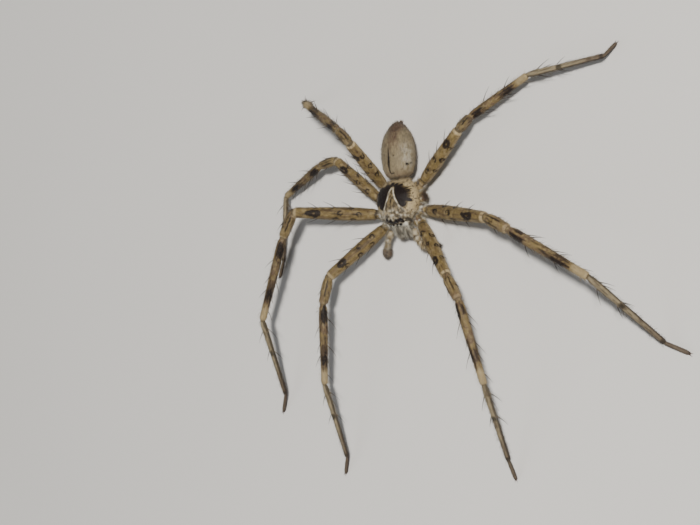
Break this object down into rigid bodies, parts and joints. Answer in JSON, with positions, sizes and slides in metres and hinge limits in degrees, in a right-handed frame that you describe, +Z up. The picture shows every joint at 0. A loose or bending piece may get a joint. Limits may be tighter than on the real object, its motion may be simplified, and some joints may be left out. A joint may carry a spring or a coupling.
{
  "type": "huntsman spider",
  "caption": "Life-size still model of a male huntsman spider standing on its spread, spiny legs, with a domed carapace, slim oval abdomen, jaws and palps",
  "frame": {"origin": "on the floor, under the middle of the whole spider's box", "axes": "+Z up; head towards -Y, turned 2.5 degrees towards +X; the spider's left side towards +X"},
  "size_m": [0.08, 0.0712, 0.0155],
  "materials": {
    "carapace": "fine-haired cuticle, cream and olive with black patches",
    "abdomen": "velvety grey-beige hair with small dark marks",
    "leg": "satin olive-tan cuticle under short hair, with dark spots and bands",
    "coxa": "pale hairy cuticle",
    "jaw": "grey-white hair over dark cuticle",
    "palp": "whitish hair with brown mottling",
    "foot": "dense dark brown hair pad",
    "eye": "wet black"
  },
  "bodies": {
    "root": {"abdomen": "abdomen", "carapace": "carapace", "chelicera_left": "jaw", "chelicera_right": "jaw", "eye_back_middle_left": "eye", "eye_back_middle_right": "eye", "eye_back_side_left": "eye", "eye_back_side_right": "eye", "eye_front_middle_left": "eye", "eye_front_middle_right": "eye", "eye_front_side_left": "eye", "eye_front_side_right": "eye", "leg_left_1_coxa": "coxa", "leg_left_1_femur": "leg", "leg_left_1_metatarsus": "leg", "leg_left_1_patella": "leg", "leg_left_1_tarsus": "foot", "leg_left_1_tibia": "leg", "leg_left_2_coxa": "coxa", "leg_left_2_femur": "leg", "leg_left_2_metatarsus": "leg", "leg_left_2_patella": "leg", "leg_left_2_tarsus": "foot", "leg_left_2_tibia": "leg", "leg_left_3_stump": "coxa", "leg_left_4_coxa": "coxa", "leg_left_4_femur": "leg", "leg_left_4_metatarsus": "leg", "leg_left_4_patella": "leg", "leg_left_4_tarsus": "foot", "leg_left_4_tibia": "leg", "leg_right_1_coxa": "coxa", "leg_right_1_femur": "leg", "leg_right_1_metatarsus": "leg", "leg_right_1_patella": "leg", "leg_right_1_tarsus": "foot", "leg_right_1_tibia": "leg", "leg_right_2_coxa": "coxa", "leg_right_2_femur": "leg", "leg_right_2_metatarsus": "leg", "leg_right_2_patella": "leg", "leg_right_2_tarsus": "foot", "leg_right_2_tibia": "leg", "leg_right_3_coxa": "coxa", "leg_right_3_femur": "leg", "leg_right_3_metatarsus": "leg", "leg_right_3_patella": "leg", "leg_right_3_tarsus": "foot", "leg_right_3_tibia": "leg", "leg_right_4_coxa": "coxa", "leg_right_4_femur": "leg", "leg_right_4_metatarsus": "leg", "leg_right_4_patella": "leg", "leg_right_4_tarsus": "foot", "leg_right_4_tibia": "leg", "palp_left_arm": "palp", "palp_left_bulb": "palp", "palp_right_arm": "palp", "palp_right_bulb": "palp", "sternum": "coxa"}
  },
  "joints": []
}
